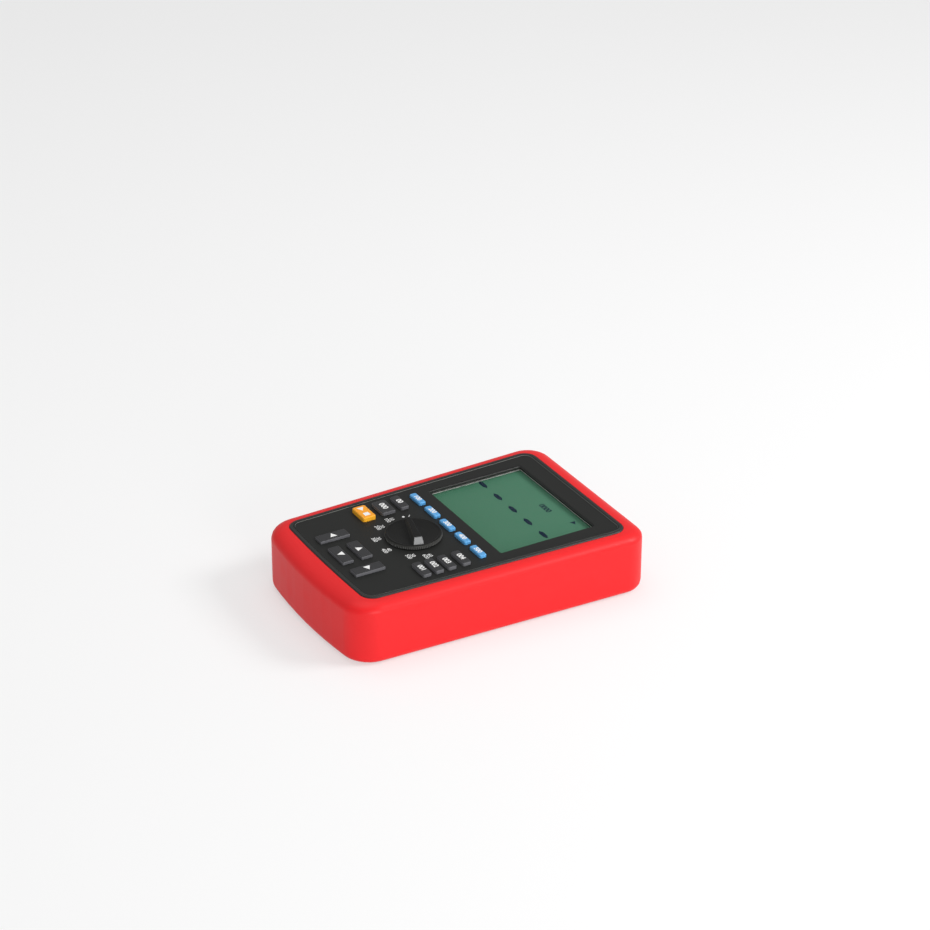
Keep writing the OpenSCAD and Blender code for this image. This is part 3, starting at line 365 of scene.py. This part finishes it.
def worn_round(node, grid, passes):
    """A copy of a CAD node on a fine even grid, eased so that all its edges are soft."""
    made = piece(welded(node), node + "_piece", nodes[node]["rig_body"], slots[node], [node])
    even = made.modifiers.new("even", "REMESH")
    even.mode, even.voxel_size, even.use_smooth_shade = "VOXEL", grid, True
    ease = made.modifiers.new("ease", "SMOOTH")
    ease.factor, ease.iterations = 0.5, passes
    return made


def keep_node(node):
    """A CAD node that stays as it is, with its own finish."""
    held = nodes[node]
    held.data.materials.clear()
    held.data.materials.append(finishes[slots[node]].material)


def laid(form, spot, turn=0.0):
    """Turns a flat form about its middle and lays it on a face."""
    bmesh.ops.rotate(form, verts=form.verts[:], cent=(0, 0, 0),
                     matrix=Matrix.Rotation(turn, 3, "Z"))
    bmesh.ops.translate(form, verts=form.verts[:], vec=spot)


def lettered(words, name, body, finish, spot, height, bold=False):
    """Plain numbers of a height in millimetres, as a thin flat mesh laid on a face."""
    curve = bpy.data.curves.new(name + "_line", "FONT")
    curve.body, curve.size, curve.extrude = words, height * mm, ink / 2
    curve.align_x, curve.align_y = "CENTER", "CENTER"
    curve.offset = bold_share * height * mm if bold else 0.0
    curve.space_line = row_share
    holder = bpy.data.objects.new(name + "_line", curve)
    bpy.context.scene.collection.objects.link(holder)
    bpy.context.view_layer.update()
    mesh = bpy.data.meshes.new_from_object(holder)
    bpy.data.objects.remove(holder)
    form = bmesh.new()
    form.from_mesh(mesh)
    bpy.data.meshes.remove(mesh)
    bmesh.ops.remove_doubles(form, verts=form.verts[:], dist=weld / 2)
    laid(form, Vector(spot) + Vector((0, 0, ink / 2)))
    return piece(form, name, body, finish)


def flat_mark(points, name, body, finish, spot, turn=0.0):
    """A flat printed shape from a few corner points in millimetres."""
    form = bmesh.new()
    ring = [form.verts.new((x * mm, y * mm, 0)) for x, y in points]
    face = form.faces.new(ring)
    raised = bmesh.ops.extrude_face_region(form, geom=[face])["geom"]
    top = [part for part in raised if isinstance(part, bmesh.types.BMVert)]
    bmesh.ops.translate(form, verts=top, vec=(0, 0, ink))
    bmesh.ops.recalc_face_normals(form, faces=form.faces[:])
    laid(form, spot, turn)
    return piece(form, name, body, finish)


def round_mark(radius, name, body, finish, spot):
    """A flat printed dot."""
    form = bmesh.new()
    bmesh.ops.create_cone(form, cap_ends=True, segments=24, radius1=radius * mm,
                          radius2=radius * mm, depth=ink, matrix=Matrix.Translation(
                              Vector(spot) + Vector((0, 0, ink / 2))))
    return piece(form, name, body, finish)


def triangle(half, foot, tip):
    """Corner points of a mark that points along +Y, in millimetres."""
    return [(-half, -foot), (half, -foot), (0, tip)]


def oblong(half_x, half_y):
    return [(-half_x, -half_y), (half_x, -half_y), (half_x, half_y), (-half_x, half_y)]


# Case and boot: each node with the radius of its edges in millimetres
for node, radius, rows, fold in (("boot", 0.7, 3, 28), ("back_shell", 0.25, 2, 30),
                                 ("front_cover", 0.22, 2, 28), ("battery_door", 0.25, 2, 30)):
    dressed(node, radius * mm, rows, fold)
dressed("tilt_stand", 0.4 * mm, 3, corner="MITER_SHARP")
for node, radius in (("stand_pads", 0.2), ("terminal_block", 0.3), ("red_sockets", 0.2),
                     ("black_sockets", 0.2), ("data_port", 0.15), ("data_port_tongue", 0.15),
                     ("supply_jack", 0.15), ("face_overlay", 0.0), ("window_lens", 0.15)):
    dressed(node, radius * mm)
dressed("door_screws", 0.08 * mm, 1)

# Raised border round the printed face, with a steep inner side; its steep faces are painted light
# grey, a painted highlight.
overlay_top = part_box("face_overlay")[1].z
top_spots = sorted({(round(vertex.co.x, 6), round(vertex.co.y, 6))
                    for vertex in nodes["face_overlay"].data.vertices
                    if abs(vertex.co.z - overlay_top) < print_gap})
outline = [Vector(top_spots[index]) for index in convex_hull_2d(top_spots)]
border_steps = ((0.1, 0), (0.1, 0.25), (0.3, 0.35), (1.3, 0.35), (1.5, 0))
border_form = bmesh.new()
rings = []
for inset, rise in border_steps:
    ring = []
    for index, spot in enumerate(outline):
        before = (spot - outline[index - 1]).normalized()
        after = (outline[(index + 1) % len(outline)] - spot).normalized()
        along = (before + after).normalized()
        moved = spot + Vector((-along.y, along.x)) * inset * mm
        ring.append(border_form.verts.new((*moved, overlay_top + rise * mm)))
    rings.append(ring)
for index, ring in enumerate(rings):
    following = rings[(index + 1) % len(rings)]
    for step in range(len(ring)):
        border_form.faces.new((ring[step - 1], ring[step], following[step], following[step - 1]))
bmesh.ops.recalc_face_normals(border_form, faces=border_form.faces[:])
border = piece(border_form, "face_border", "case", "border_painted_highlight")

# Keys
keys = [name for name in nodes if name.endswith("_key") or "_key_" in name]
for name in keys:
    dressed(name, 0.35 * mm, 3, 25)


def key_top(name):
    low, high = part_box(name)
    return Vector(((low.x + high.x) / 2, (low.y + high.y) / 2, high.z + print_gap))


for name, turn in (("arrow_up_key", 0), ("arrow_down_key", math.pi),
                   ("arrow_right_key", -math.pi / 2), ("arrow_left_key", math.pi / 2)):
    flat_mark(triangle(2.6, 2.2, 2.6), name + "_mark", nodes[name]["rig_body"], "white_ink",
              key_top(name), turn)
key_numbers = {"left_key_1": ("000", 5.6), "left_key_2": ("00", 5.4)}
key_numbers.update({f"right_key_{place}": (f"00{place}", 5.2) for place in range(1, 5)})
key_numbers.update({f"blue_key_{place}": (f"{place}00", 4.9) for place in range(1, 6)})
for name, (words, height) in key_numbers.items():
    lettered(words, name + "_number", nodes[name]["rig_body"], "white_ink", key_top(name),
             height, bold=True)
mark_reach = Vector((4 * mm, 0, 0))
start = key_top("orange_key")
flat_mark([(-2.2, -2.6), (2.6, 0), (-2.2, 2.6)], "orange_key_run",
          nodes["orange_key"]["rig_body"], "white_ink", start - mark_reach)
flat_mark(oblong(2.1, 2.1), "orange_key_halt", nodes["orange_key"]["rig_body"], "white_ink",
          start + mark_reach)

# Selector knob
worn_round("knob", 0.3 * mm, 4)
dressed("knob_marker", 0.2 * mm, 2)
knob_low, knob_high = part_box("knob")
hub = (knob_low + knob_high) / 2
dial_z = overlay_top + print_gap

# Fine grip ribs round the knob's skirt, in a lighter grey than the knob: a painted highlight of
# the lit skirt side
rib_count = 96
rib_reach = (knob_high.x - knob_low.x) / 2 - 0.08 * mm
rib_z = dial_z + 1.35 * mm
ribs_form = bmesh.new()
for step in range(rib_count):
    turn = math.tau * step / rib_count
    spot = Vector((hub.x + rib_reach * math.cos(turn), hub.y + rib_reach * math.sin(turn), rib_z))
    bmesh.ops.create_cone(ribs_form, cap_ends=True, segments=6, radius1=0.3 * mm,
                          radius2=0.22 * mm, depth=1.7 * mm, matrix=Matrix.Translation(spot))
ribs = piece(ribs_form, "knob_ribs", nodes["knob"]["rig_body"], "rib_plastic_painted_highlight")


def on_dial(angle, reach):
    """A point at an angle and a distance in millimetres from the knob's middle."""
    return (hub.x + reach * mm * math.cos(math.radians(angle)),
            hub.y + reach * mm * math.sin(math.radians(angle)), dial_z)


round_mark(0.95, "dial_rest_dot", "case", "white_ink", on_dial(165.5, 27.8))
flat_mark(oblong(1.7, 0.3), "dial_rest_line", "case", "gray_ink", on_dial(157, 28.2),
          math.radians(137))
number_places = ((187, 28.5), (213, 26.5), (250.5, 26), (288, 27), (327, 28), (350.5, 29.5))
for step, place in enumerate(number_places, 1):
    lettered(f"{step}0\n{step}00", f"dial_number_{step}", "case", "white_ink",
             on_dial(*place), 4.2)

# Display
dressed("display_glass", 0.0)
dressed("display_segments", 0.0)
glass_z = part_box("display_glass")[1].z + print_gap
lettered("0000", "display_small_number", "case", "display_ink", (5.8 * mm, 73.5 * mm, glass_z),
         6.2, bold=True)
flat_mark(triangle(2.2, 1.8, 2.4), "display_mark", "case", "display_ink",
          (33.8 * mm, 80 * mm, glass_z), -math.pi / 2)

for name in nodes:
    if not nodes[name].hide_render:
        keep_node(name)

# Floor: half lit by the lamps, half plain white to the camera, in gloss and through glass
floor_size = 8
white_share = 0.5
floor_form = bmesh.new()
bmesh.ops.create_grid(floor_form, x_segments=1, y_segments=1, size=floor_size)
floor_mesh = bpy.data.meshes.new("floor")
floor_form.to_mesh(floor_mesh)
floor_form.free()
floor = bpy.data.objects.new("floor", floor_mesh)
bpy.context.scene.collection.objects.link(floor)
floor_finish = Finish("floor", (0.9, 0.9, 0.9), 0.7, Specular_IOR_Level=0.15)
backdrop = floor_finish.tree.nodes.new("ShaderNodeMixShader")
white = floor_finish.tree.nodes.new("ShaderNodeEmission")
by_camera, in_gloss, through_glass = (
    floor_finish.node("ShaderNodeLightPath", {}, {}, label)
    for label in ("Is Camera Ray", "Is Glossy Ray", "Is Transmission Ray"))
seen = (by_camera + in_gloss + through_glass).kept() * white_share
for source, socket in ((seen.socket, 0), (floor_finish.shader.outputs[0], 1),
                       (white.outputs[0], 2)):
    floor_finish.tree.links.new(source, backdrop.inputs[socket])
floor_finish.tree.links.new(backdrop.outputs[0], floor_finish.output.inputs[0])
floor_mesh.materials.append(floor_finish.material)

# Lamps, all aimed at the meter, and the world
lamp_aim = Vector((0, 0, 0.03))
for name, spot, size, power in (("main_lamp", (0.75, 1.15, 1.15), 0.6, 17),
                                ("side_lamp", (1.7, -0.25, 0.42), 0.7, 13.5),
                                ("top_lamp", (-0.4, -0.1, 1.7), 1.2, 6)):
    lamp = bpy.data.objects.new(name, bpy.data.lights.new(name, "AREA"))
    lamp.data.shape, lamp.data.size, lamp.data.energy = "SQUARE", size, power
    lamp.location = spot
    lamp.rotation_euler = (lamp_aim - Vector(spot)).to_track_quat("-Z", "Y").to_euler()
    bpy.context.scene.collection.objects.link(lamp)
world = bpy.data.worlds.new("studio")
bpy.context.scene.world = world
world.use_nodes = True
shade = world.node_tree.nodes["Background"]
shade.inputs["Color"].default_value = (1, 1, 1, 1)
shade.inputs["Strength"].default_value = 0.45
bpy.context.scene.view_settings.view_transform = "Standard"
